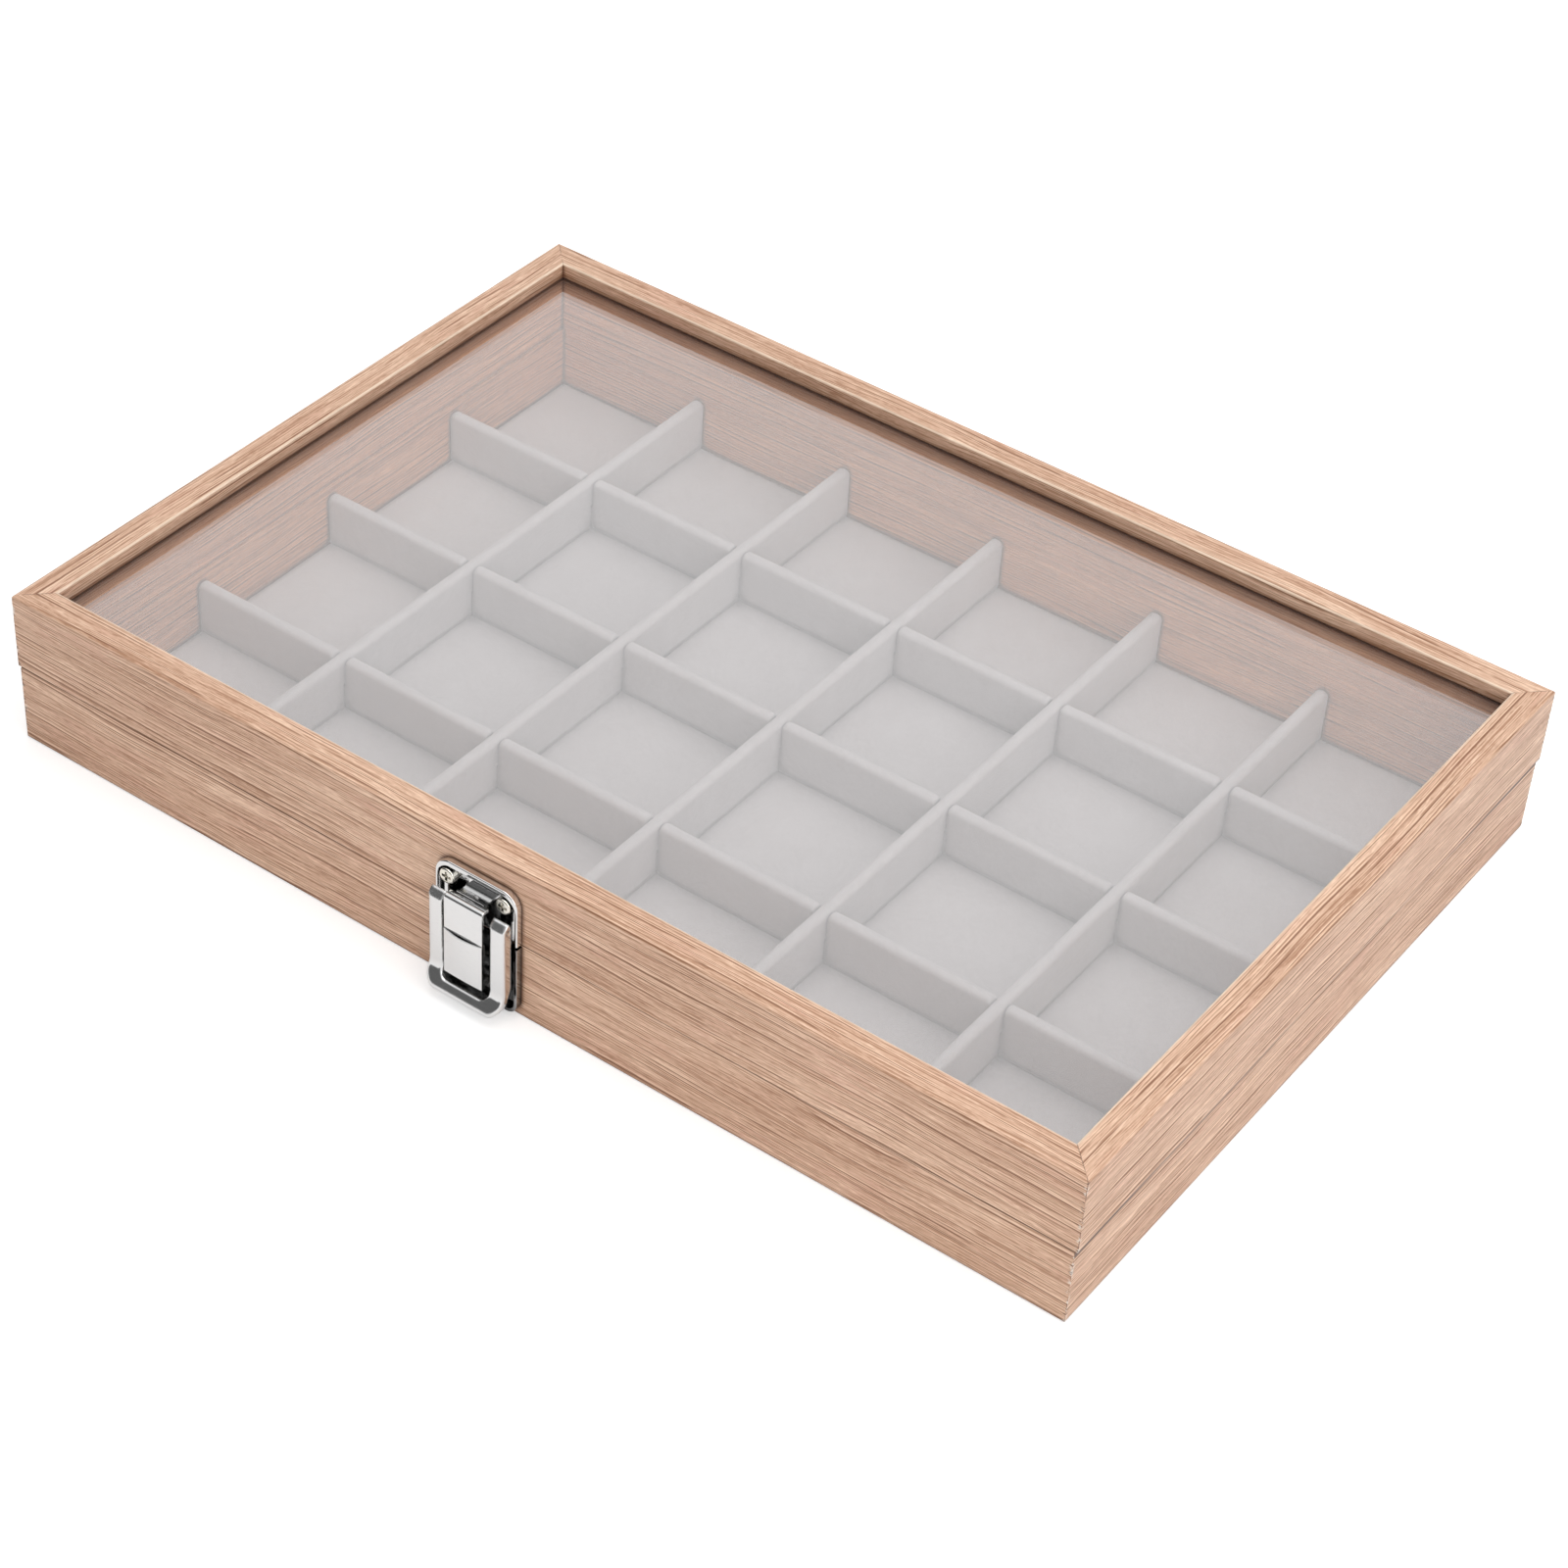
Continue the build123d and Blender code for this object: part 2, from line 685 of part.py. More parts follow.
# Hook strap: wide and bowed above the cover's mouth, with a tongue and two legs inside the
# cover that reach the link pin; its upper end is rolled over towards the keeper
strap_back = strap_front - metal
strap_end = hook_reach + strap_clearance
strap_shoulder = cover_top + strap_shoulder_clearance
with BuildPart() as hook_strap:
    with BuildSketch(latch_side.offset(-cover_width / 2)) as profile:
        Polygon(
            (strap_back, strap_foot),
            (strap_front, strap_foot),
            (strap_front, strap_top),
            (strap_end, strap_top),
            (strap_end, strap_top - metal),
            (strap_back, strap_top - metal),
            align=None,
        )
        fillet(profile.vertices().sort_by_distance((strap_front, strap_top))[0], strap_roll)
        fillet(
            profile.vertices().sort_by_distance((strap_back, strap_top - metal))[0],
            strap_roll - metal,
        )
    extrude(amount=cover_width)
    with BuildSketch(front_face) as tongue:
        with Locations((0, strap_foot)):
            Rectangle(cover_width, strap_shoulder - strap_foot, align=foot_align)
            Rectangle(
                strap_tongue, strap_shoulder - strap_foot, align=foot_align, mode=Mode.SUBTRACT
            )
    extrude(amount=strap_front, mode=Mode.SUBTRACT)
    bow_foot = (strap_shoulder, strap_bulge)
    bow_top = (strap_top - strap_roll, 0)
    add(bowed_block(bow_foot, bow_top, strap_front, strap_back, cover_width / 2))
    for side in (-1, 1):
        with BuildSketch(latch_side.offset(-side * strap_tongue / 2)):
            with Locations((link_standoff, link_level)):
                Circle(lug_radius)
            Polygon(
                (link_standoff - lug_radius, link_level),
                (link_standoff + lug_radius, link_level),
                (strap_front, strap_foot),
                (strap_back, strap_foot + lug_reach),
                align=None,
            )
            with Locations((link_standoff, link_level)):
                Circle(link_pin_radius + pin_clearance, mode=Mode.SUBTRACT)
        extrude(amount=side * metal)
save(hook_strap, "hook_strap")
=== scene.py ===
import math

import bpy
import numpy as np
from mathutils import Euler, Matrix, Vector


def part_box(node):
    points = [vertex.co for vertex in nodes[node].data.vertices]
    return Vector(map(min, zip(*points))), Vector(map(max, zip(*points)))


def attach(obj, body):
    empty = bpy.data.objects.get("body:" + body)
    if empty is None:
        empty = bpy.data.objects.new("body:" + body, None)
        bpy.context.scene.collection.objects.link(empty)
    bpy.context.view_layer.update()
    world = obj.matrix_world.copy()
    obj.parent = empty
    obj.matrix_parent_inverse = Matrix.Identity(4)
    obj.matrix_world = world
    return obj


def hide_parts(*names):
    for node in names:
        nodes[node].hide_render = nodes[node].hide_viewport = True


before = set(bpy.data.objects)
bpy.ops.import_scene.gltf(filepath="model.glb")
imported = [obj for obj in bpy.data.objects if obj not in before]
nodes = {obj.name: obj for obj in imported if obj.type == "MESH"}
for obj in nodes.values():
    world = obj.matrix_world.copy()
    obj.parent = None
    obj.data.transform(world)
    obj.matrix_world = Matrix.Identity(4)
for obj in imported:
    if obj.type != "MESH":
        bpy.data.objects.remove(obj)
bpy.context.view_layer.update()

# A flat jewelry box in oak-grain foil: glass lid, velvet compartments, chromed draw latch.
# Metres. X runs along the front, +Y to the hinges, +Z up, as the loaded parts have it.

mm = 0.001
print("frame loaded:", len(nodes), "parts")


# Camera, lamps and studio

camera = {
    "place": (0.44787, -0.66632, 0.67582),
    "turn": (49.8157, -2.9217, 36.2003),  # degrees
    "lens": 85.41,
    "sensor": 36.0,
}
lamps = {
    "top": {"place": (0.20, 0.15, 1.30), "size": 1.3, "power": 10.0, "mirrored": True},
    "right": {"place": (1.35, -0.25, 0.75), "size": 0.9, "power": 4.4, "mirrored": True},
    "front": {"place": (0.70, -1.15, 0.60), "size": 0.8, "power": 4.4, "mirrored": False},
}
studio = {
    "world": 0.50,
    "floorColor": (0.80, 0.80, 0.80),
    "floorGlow": 0.45,
    "farGlow": 0.66,
    "glowSpan": (0.4, 1.6),  # distances from the middle between which the glow rises
    "floorGlossShare": 0.35,
    "floorSize": 6.0,
}
# a dark studio wall in front and to the left, and the floor before it, seen only in reflections:
# a profile of (distance, height) from the middle of the box, turned from start to stop in degrees.
# It turns white over its last few degrees at each end.
darkWall = {
    "profile": ((0.33, 0.002), (2.2, 0.002), (2.2, 2.1)),
    "start": 160.0,
    "stop": 305.0,
    "steps": 48,
    "fade": 25.0,
    "tone": 0.13,
    "nearTone": 0.50,
    "nearShare": 0.5,  # of the way out, where the near tone ends
    "topTone": 0.15,
    "topShare": 0.8,  # of the height, where the top tone begins
}


def addObject(name, data):
    item = bpy.data.objects.new(name, data)
    bpy.context.scene.collection.objects.link(item)
    return item


def addCamera():
    data = bpy.data.cameras.new("photoCamera")
    data.sensor_width = camera["sensor"]
    data.lens = camera["lens"]
    data.clip_start = 0.01
    item = addObject("photoCamera", data)
    item.location = camera["place"]
    item.rotation_euler = Euler([math.radians(angle) for angle in camera["turn"]])
    bpy.context.scene.camera = item


def addLamps():
    for name, lamp in lamps.items():
        data = bpy.data.lights.new(name, "AREA")
        data.shape = "SQUARE"
        data.size = lamp["size"]
        data.energy = lamp["power"]
        item = addObject(name, data)
        item.location = lamp["place"]
        item.rotation_euler = (-Vector(lamp["place"])).to_track_quat("-Z", "Y").to_euler()
        item.visible_glossy = lamp["mirrored"]


# Small helpers for node trees

def fill(tree, sockets, values):
    # a value is a constant, or another node's socket to link
    for key, value in values.items():
        if isinstance(value, bpy.types.NodeSocket):
            tree.links.new(value, sockets[key])
        else:
            sockets[key].default_value = value


def put(tree, kind, inputs=None, **settings):
    node = tree.nodes.new(kind)
    for name, value in settings.items():
        setattr(node, name, value)
    fill(tree, node.inputs, inputs or {})
    return node


def calc(tree, operation, first, second=0.0, third=0.0):
    inputs = {0: first, 1: second, 2: third}
    return put(tree, "ShaderNodeMath", inputs, operation=operation).outputs[0]


def between(tree, share, low, high):
    return calc(tree, "MULTIPLY_ADD", share, high - low, low)


def fade(tree, value, low, high, start=0.0, stop=1.0):
    # start at low, stop at high, and a smooth step between them
    inputs = {"Value": value, "From Min": low, "From Max": high, "To Min": start, "To Max": stop}
    node = put(tree, "ShaderNodeMapRange", inputs, interpolation_type="SMOOTHSTEP")
    return node.outputs["Result"]


def blend(tree, factor, first, second, mode="MIX"):
    inputs = {0: factor, 6: first, 7: second}
    return put(tree, "ShaderNodeMix", inputs, data_type="RGBA", blend_type=mode).outputs[2]


def opaque(color):
    return (*color, 1.0)


def tint(tree, color, mask, share, other):
    # lays this share of another color on where the mask is
    return blend(tree, calc(tree, "MULTIPLY", mask, share), color, opaque(other))


def noise(tree, spot, scale=1.0, detail=2.0, rough=0.5, warp=0.0):
    inputs = {"Vector": spot, "Scale": scale, "Detail": detail, "Roughness": rough}
    inputs["Distortion"] = warp
    return put(tree, "ShaderNodeTexNoise", inputs).outputs[0]


def squashed(tree, spot, scale):
    return put(tree, "ShaderNodeMapping", {"Vector": spot, "Scale": scale}).outputs[0]


def triple(tree, x, y, z):
    return put(tree, "ShaderNodeCombineXYZ", {0: x, 1: y, 2: z}).outputs[0]


def vectorMath(tree, operation, first, second=(0, 0, 0)):
    # a node's first output is its vector, and the second its value
    return put(tree, "ShaderNodeVectorMath", {0: first, 1: second}, operation=operation).outputs


def heightOf(tree, spot):
    return put(tree, "ShaderNodeSeparateXYZ", {0: spot}).outputs[2]


def objectSpot(tree):
    return put(tree, "ShaderNodeTexCoord").outputs["Object"]


def openness(tree, reach, samples):
    # 1 in the open, and less where other faces stand within reach
    node = put(tree, "ShaderNodeAmbientOcclusion", {"Distance": reach}, samples=samples)
    return node.outputs["AO"]


def bumped(tree, height, look, normal=None):
    inputs = {"Strength": look["strength"], "Distance": look["depth"], "Height": height}
    if normal:
        inputs["Normal"] = normal
    return put(tree, "ShaderNodeBump", inputs).outputs[0]


def newGroup(name, inputs, outputs):
    group = bpy.data.node_groups.new(name, "ShaderNodeTree")
    for socket, kind in inputs:
        group.interface.new_socket(name=socket, in_out="INPUT", socket_type=kind)
    for socket, kind in outputs:
        group.interface.new_socket(name=socket, in_out="OUTPUT", socket_type=kind)
    return group, group.nodes.new("NodeGroupInput").outputs, group.nodes.new("NodeGroupOutput")


def newMaterial(name):
    material = bpy.data.materials.new(name)
    material.use_nodes = True
    tree = material.node_tree
    return material, tree, tree.nodes["Principled BSDF"]


def show(tree, node):
    tree.links.new(node.outputs[0], tree.nodes["Material Output"].inputs["Surface"])


def dress(names, material):
    for name in names:
        node = nodes[name]
        if not node.material_slots:
            node.data.materials.append(material)
        for slot in node.material_slots:
            slot.material = material


# Floor and world: both show white behind the box and in its metal and glass

def seenWhite(tree, glossShare=1.0):
    path = put(tree, "ShaderNodeLightPath").outputs
    glossy = calc(tree, "MULTIPLY", path["Is Glossy Ray"], glossShare)
    seen = calc(tree, "MAXIMUM", path["Is Camera Ray"], glossy)
    return calc(tree, "MAXIMUM", seen, path["Is Transmission Ray"])


def addFloor():
    half = studio["floorSize"] / 2
    corners = [(-half, -half, 0), (half, -half, 0), (half, half, 0), (-half, half, 0)]
    mesh = bpy.data.meshes.new("floor")
    mesh.from_pydata(corners, [], [(0, 1, 2, 3)])
    floor = addObject("floor", mesh)
    material, tree, shader = newMaterial("floorPaper")
    tree.nodes.remove(shader)
    plain = put(tree, "ShaderNodeBsdfDiffuse", {"Color": opaque(studio["floorColor"])})
    distance = vectorMath(tree, "LENGTH", objectSpot(tree))["Value"]
    glow = fade(tree, distance, *studio["glowSpan"], studio["floorGlow"], studio["farGlow"])
    glow = calc(tree, "MULTIPLY", seenWhite(tree, studio["floorGlossShare"]), glow)
    light = put(tree, "ShaderNodeEmission", {"Strength": glow})
    show(tree, put(tree, "ShaderNodeAddShader", {0: plain.outputs[0], 1: light.outputs[0]}))
    mesh.materials.append(material)


def gridQuads(rows, cols):
    # the four corners of each cell in a grid of points counted row by row
    first = np.arange(rows - 1)[:, None] * cols + np.arange(cols - 1)
    return np.stack([first, first + 1, first + 1 + cols, first + cols], axis=-1).reshape(-1, 4)


def addDarkWall():
    # each point of the profile stands at its distance in every direction from start to stop
    angle = np.radians(np.linspace(darkWall["start"], darkWall["stop"], darkWall["steps"]))
    away, height = np.array(darkWall["profile"]).T
    flat = away[:, None, None] * np.stack([np.cos(angle), np.sin(angle)], axis=-1)
    level = np.broadcast_to(height[:, None, None], flat[..., :1].shape)
    points = np.concatenate([flat, level], axis=-1)
    mesh = bpy.data.meshes.new("darkWall")
    quads = gridQuads(len(away), len(angle))
    mesh.from_pydata(points.reshape(-1, 3).tolist(), [], quads.tolist())
    wall = addObject("darkWall", mesh)
    material, tree, shader = newMaterial("darkCloth")
    tree.nodes.remove(shader)
    spot = objectSpot(tree)
    distance = vectorMath(tree, "LENGTH", spot)["Value"]
    nearEnd = darkWall["nearShare"] * away[1]
    near = fade(tree, distance, away[0], nearEnd, darkWall["nearTone"], darkWall["tone"])
    topStart = darkWall["topShare"] * height[2]
    high = fade(tree, heightOf(tree, spot), 0.0, topStart, darkWall["tone"], darkWall["topTone"])
    # the cosine of the angle from the wall's middle direction tells how near an end is
    middle = math.radians((darkWall["start"] + darkWall["stop"]) / 2)
    half = math.radians((darkWall["stop"] - darkWall["start"]) / 2)
    flatSpot = vectorMath(tree, "MULTIPLY", spot, (1, 1, 0))[0]
    facing = vectorMath(tree, "NORMALIZE", flatSpot)[0]
    toward = (math.cos(middle), math.sin(middle), 0)
    turned = vectorMath(tree, "DOT_PRODUCT", facing, toward)["Value"]
    fadeStart = math.cos(half - math.radians(darkWall["fade"]))
    ends = fade(tree, turned, fadeStart, math.cos(half))
    tone = calc(tree, "MAXIMUM", calc(tree, "MAXIMUM", near, high), ends)
    show(tree, put(tree, "ShaderNodeEmission", {"Strength": tone}))
    mesh.materials.append(material)
    for ray in ("camera", "diffuse", "transmission", "volume_scatter", "shadow"):
        setattr(wall, f"visible_{ray}", False)


def addWorld():
    world = bpy.data.worlds.new("studio")
    world.use_nodes = True
    bpy.context.scene.world = world
    tree = world.node_tree
    strength = fade(tree, seenWhite(tree), 0.0, 1.0, studio["world"], 1.0)
    fill(tree, tree.nodes["Background"].inputs, {"Color": (1, 1, 1, 1), "Strength": strength})


# Oak-grain foil

oak = {
    "dark": (0.385, 0.192, 0.104),
    "mid": (0.665, 0.418, 0.286),
    "pale": (0.920, 0.660, 0.485),
    "line": (0.205, 0.078, 0.030),
    "pink": (0.680, 0.395, 0.282),
    # dark joints and slits, and painted shade under the lid's overhang
    "joint": (0.085, 0.030, 0.013),
    "chip": (0.860, 0.780, 0.700),
    "worn": (0.900, 0.760, 0.600),
    "shade": (0.190, 0.085, 0.035),
    "corner": (0.150, 0.060, 0.030),
    "inside": (0.950, 0.680, 0.460),  # painted shade: times the grain's color, under the glass
    "rough": 0.38,
    "lineRough": 0.16,  # more, in the dark lines
    "bump": {"strength": 0.5, "depth": 0.08 * mm},
    "reach": 2.0 * mm,  # of the shade in corners and beside the metal
    "closed": (0.90, 0.45, 0.0, 0.85),  # that shade, by how open the place is
}
# The grain's marks, in millimetres. A noise is (length, width, shift), with its detail and share.
grain = {
    # slow noises that bend the lines, and how far
    "bends": (
        ((75.0, 30.0, 0.0), 4.0),
        ((14.0, 5.0, 3.7), 0.20),
        ((90.0, 3.0, 7.9), 1.5),
    ),
    "bold": {"spacing": 2.0, "length": 40.0, "half": 0.26, "shift": 11.5, "shown": (0.46, 0.56)},
    "thin": {"spacing": 1.0, "length": 14.0, "half": 0.23, "shift": 23.5, "shown": (0.42, 0.56)},
    "hair": {"spacing": 0.65, "length": 6.0, "half": 0.18, "shift": 37.5, "shown": (0.42, 0.60)},
    "lineShares": {"bold": 0.88, "thin": 0.85, "hair": 0.55},  # of their color that the lines take
    "edgeShare": 0.75,
    "edgeWeights": {"thin": 0.8, "hair": 0.5},  # of their pale edges beside the bold lines' own
    "middle": (0.3, 0.7),  # where in its spacing a line may lie, as a share
    "girth": (0.45, 1.35),  # times its half width
    "core": 0.35,  # share of the half width that is darkest
    "edgeOff": 1.9,  # half widths from a line to the middle of its pale edge
    "edgeCore": 0.3,
    "clouds": (
        ((80.0, 6.0, 41.0), 2.0, 1.0),
        ((40.0, 1.5, 47.0), 1.0, 0.8),
    ),
    "fibre": ((8.0, 0.60, 31.0), 1.0, 0.9),
    "flecks": ((2.4, 0.30, 53.0), 1.0, 0.9),
    "blush": ((30.0, 7.0, 43.0), 2.0, 0.6),
    "blushSpan": (0.0, 0.20),
    # the tones between which the color goes dark or pale, and the most of it
    "toDark": {"span": (0.50, 0.05), "share": 0.9},
    "toPale": {"span": (0.50, 0.95), "share": 0.8},
    "relief": {"thin": 0.6, "fibre": 0.5},  # against the depth of a bold line
    "seedStep": 31.0,  # these two keep the noises of the boards and of the lines apart
    "lineStep": 17.3,
    "seeds": {"lid": 3.1, "base": 61.7},  # of the first board; each next board's is a step on
    "nextSeed": 5.3,
}


def oakGroup():
    # Grain along one axis. The across axis is shifted by slow noises, so the lines wander.
    # Lines are ruled at a spacing, each moved by its own random share of it and kept only where
    # its own noise along the grain is high. A paler line runs beside each dark one.
    group, given, out = newGroup(
        "oakGrain",
        [(name, "NodeSocketFloat") for name in ("Along", "Across", "Seed")],
        [("Color", "NodeSocketColor"), ("Height", "NodeSocketFloat"), ("Lines", "NodeSocketFloat")],
    )
    along = calc(group, "MULTIPLY", given["Along"], 1 / mm)
    across = calc(group, "MULTIPLY", given["Across"], 1 / mm)
    seed = given["Seed"]

    def grainNoise(marks, detail, side):
        # noise whose marks are this long and wide, less its mean
        length, width, shift = marks
        spot = triple(
            group,
            calc(group, "DIVIDE", along, length),
            calc(group, "DIVIDE", side, width),
            calc(group, "ADD", seed, shift),
        )
        return calc(group, "SUBTRACT", noise(group, spot, detail=detail), 0.5)

    moved = across
    for marks, share in grain["bends"]:
        moved = calc(group, "MULTIPLY_ADD", grainNoise(marks, 1.0, across), share, moved)

    def ruled(look):
        half = look["half"]
        place = calc(group, "DIVIDE", moved, look["spacing"])
        number = calc(group, "MULTIPLY", seed, grain["seedStep"])
        number = calc(group, "ADD", calc(group, "FLOOR", place), number)
        number = calc(group, "ADD", number, look["shift"])
        chance = put(group, "ShaderNodeTexWhiteNoise", {"W": number}, noise_dimensions="1D").outputs
        middle = between(group, chance["Value"], *grain["middle"])
        other = put(group, "ShaderNodeSeparateColor", {0: chance["Color"]}).outputs[1]
        girth = between(group, other, *grain["girth"])
        off = calc(group, "SUBTRACT", calc(group, "FRACT", place), middle)
        off = calc(group, "DIVIDE", calc(group, "MULTIPLY", off, look["spacing"]), girth)
        own = triple(
            group,
            calc(group, "DIVIDE", along, look["length"]),
            calc(group, "MULTIPLY", number, grain["lineStep"]),
            look["shift"],
        )
        there = fade(group, noise(group, own, detail=1.0), *look["shown"])
        dark = fade(group, calc(group, "ABSOLUTE", off), half, grain["core"] * half)
        beside = calc(group, "SUBTRACT", off, grain["edgeOff"] * half)
        light = fade(group, calc(group, "ABSOLUTE", beside), half, grain["edgeCore"] * half)
        return calc(group, "MULTIPLY", dark, there), calc(group, "MULTIPLY", light, there)

    bold, boldEdge = ruled(grain["bold"])
    thin, thinEdge = ruled(grain["thin"])
    hair, hairEdge = ruled(grain["hair"])
    tone = 0.5
    for marks, detail, share in grain["clouds"]:
        tone = calc(group, "MULTIPLY_ADD", grainNoise(marks, detail, moved), share, tone)
    fibre = grainNoise(*grain["fibre"][:2], moved)
    flecks = grainNoise(*grain["flecks"][:2], moved)
    blush = grainNoise(*grain["blush"][:2], moved)
    tone = calc(group, "MULTIPLY_ADD", fibre, grain["fibre"][2], tone)
    tone = calc(group, "MULTIPLY_ADD", flecks, grain["flecks"][2], tone)

    color = blend(
        group,
        fade(group, blush, *grain["blushSpan"], 0.0, grain["blush"][2]),
        opaque(oak["mid"]),
        opaque(oak["pink"]),
    )
    for look, name in ((grain["toDark"], "dark"), (grain["toPale"], "pale")):
        color = tint(group, color, fade(group, tone, *look["span"]), look["share"], oak[name])
    weights = grain["edgeWeights"]
    edge = calc(group, "MAXIMUM", boldEdge, calc(group, "MULTIPLY", thinEdge, weights["thin"]))
    edge = calc(group, "MAXIMUM", edge, calc(group, "MULTIPLY", hairEdge, weights["hair"]))
    shares = grain["lineShares"]
    for mask, share, name in (
        (hair, shares["hair"], "dark"),
        (edge, grain["edgeShare"], "pale"),
        (thin, shares["thin"], "dark"),
        (bold, shares["bold"], "line"),
    ):
        color = tint(group, color, mask, share, oak[name])

    relief = grain["relief"]
    marks = calc(group, "MAXIMUM", bold, calc(group, "MULTIPLY", thin, relief["thin"]))
    height = calc(group, "SUBTRACT", calc(group, "MULTIPLY", fibre, relief["fibre"]), marks)
    fill(group, out.inputs, {"Color": color, "Height": height, "Lines": marks})
    return group


# Joints, wear and painted shade of the foil. A noise is (rate per metre, low, high): no mark where
# it is low, and all of it where it is high. Of two distances from an edge, a mark begins at the
# first and is full at the second. A core is the share of a mark's width or reach that is darkest.
foil = {
    "mitre": {"width": 0.28 * mm, "core": 0.2, "noise": (260.0, 0.42, 0.62), "share": (0.1, 0.6)},
    "frayed": {"reach": 1.3 * mm, "core": 0.1},  # of chips and slits, from an outer corner
    "chips": {"squash": (1.0, 1.0, 1.0), "noise": (620.0, 0.54, 0.60), "share": 0.75},
    "slits": {"squash": (1.0, 1.0, 3.5), "noise": (330.0, 0.57, 0.63), "share": 0.85},
    "rubbed": {"in": (0.9 * mm, 0.4 * mm), "down": (0.6 * mm, 0.2 * mm), "share": 0.55},
    # painted shade on the inner faces over the glass, with a painted shadow line at the joint, and
    # under it
    "shadeOverGlass": {"wide": 3.5 * mm, "share": 0.55, "joint": (0.8 * mm, 0.2 * mm)},
    "shadeUnderGlass": {"down": (7.0 * mm, 3.0 * mm), "share": 0.6},
}
# The dark line between lid and base, on the long boards and at the ends: how far it spreads up and
# down, and between which distances from a corner it grows to its most. It is the joint itself, and
# on the base's ends also painted shade under the lid's overhang.
seam = {
    "long": {"spread": 0.45 * mm, "grows": (35.0 * mm, 5.0 * mm), "most": 0.60},
    "end": {"spread": 0.70 * mm, "grows": (75.0 * mm, 15.0 * mm), "most": 0.95},
    "core": 0.3,  # share of the spread that is darkest
    "noise": (14.0, 0.40, 0.60),
    "share": (0.20, 0.65),
    "depth": (0.9 * mm, 0.4 * mm),  # it stays on the outer face
    # the lid's ends stand over the base's, so that there the seam lies in their shade
    "lidEdge": 0.2 * mm,
    "baseShade": 2.4,  # times the overhang
}
# outward direction of a board: (along its grain, inward)
directions = {
    "front": ((1, 0, 0), (0, 1, 0)),
    "back": ((-1, 0, 0), (0, -1, 0)),
    "left": ((0, -1, 0), (1, 0, 0)),
    "right": ((0, 1, 0), (-1, 0, 0)),
}


def mitreGap(tree, at):
    # a thin dark line where two boards meet: there a point is as deep as it is far from the end
    look = foil["mitre"]
    rate, low, high = look["noise"]
    off = calc(tree, "ABSOLUTE", calc(tree, "SUBTRACT", at["toEnd"], at["depth"]))
    gap = fade(tree, off, look["width"], look["core"] * look["width"])
    share = fade(tree, noise(tree, at["spot"], rate, 1.0), low, high, *look["share"])
    return calc(tree, "MULTIPLY", gap, share)


def seamGapAndShade(tree, at, part, side, case, seed):
    atEnd = side in ("left", "right")
    look = seam["end" if atEnd else "long"]
    # on the base's ends the dark line reaches down past the height hidden under the lid: painted
    # shade under its overhang
    shaded = seam["baseShade"] * case["overhang"] if part == "base" else seam["lidEdge"]
    hidden = shaded if atEnd else 0.0
    off = calc(tree, "ABSOLUTE", calc(tree, "SUBTRACT", at["level"], case["seam"]))
    gap = fade(tree, off, hidden + look["spread"], hidden + seam["core"] * look["spread"])
    rate, low, high = seam["noise"]
    share = noise(tree, triple(tree, calc(tree, "MULTIPLY", at["run"], rate), 0.0, seed))
    share = fade(tree, share, low, high, *seam["share"])
    share = calc(tree, "MAXIMUM", share, fade(tree, at["toEnd"], *look["grows"], 0.0, look["most"]))
    outer = fade(tree, at["depth"], *seam["depth"])
    return calc(tree, "MULTIPLY", calc(tree, "MULTIPLY", gap, share), outer)


def frayed(tree, at, look):
    # marks along the outer corner, where the foil is folded round
    rate, low, high = look["noise"]
    flat = calc(tree, "MAXIMUM", at["toEnd"], at["depth"])
    reach = foil["frayed"]["reach"]
    nearCorner = fade(tree, flat, reach, foil["frayed"]["core"] * reach)
    flakes = noise(tree, squashed(tree, at["spot"], look["squash"]), rate, 2.0, 0.6)
    return calc(tree, "MULTIPLY", nearCorner, fade(tree, flakes, low, high))


def innerFaceColor(tree, at, case, color):
    # the foil wears pale along the rim's inner edge; painted shade darkens it above and below the
    # glass, with a painted shadow line where it meets the glass, and darkens and warms the grain
    # under the glass
    wide, narrow = (case["wall"] - place for place in foil["rubbed"]["in"])
    inner = fade(tree, at["depth"], wide, narrow)
    under, over = (case["top"] - place for place in foil["rubbed"]["down"])
    worn = calc(tree, "MULTIPLY", inner, fade(tree, at["level"], under, over))
    color = tint(tree, color, worn, foil["rubbed"]["share"], oak["worn"])

    level, glassTop = at["level"], case["glass"]
    look = foil["shadeOverGlass"]
    shade = fade(tree, level, glassTop + look["wide"], glassTop, 0.0, look["share"])
    far, close = (glassTop + place for place in look["joint"])
    shade = calc(tree, "MAXIMUM", shade, fade(tree, level, far, close))
    shade = calc(tree, "MULTIPLY", shade, calc(tree, "GREATER_THAN", level, glassTop))
    color = tint(tree, color, calc(tree, "MULTIPLY", shade, inner), 1.0, oak["shade"])

    below = calc(tree, "MULTIPLY", calc(tree, "LESS_THAN", level, glassTop), inner)
    color = blend(tree, below, color, opaque(oak["inside"]), "MULTIPLY")
    low, high = (glassTop - place for place in foil["shadeUnderGlass"]["down"])
    shade = fade(tree, level, low, high, 0.0, foil["shadeUnderGlass"]["share"])
    return tint(tree, color, calc(tree, "MULTIPLY", below, shade), 1.0, oak["shade"])


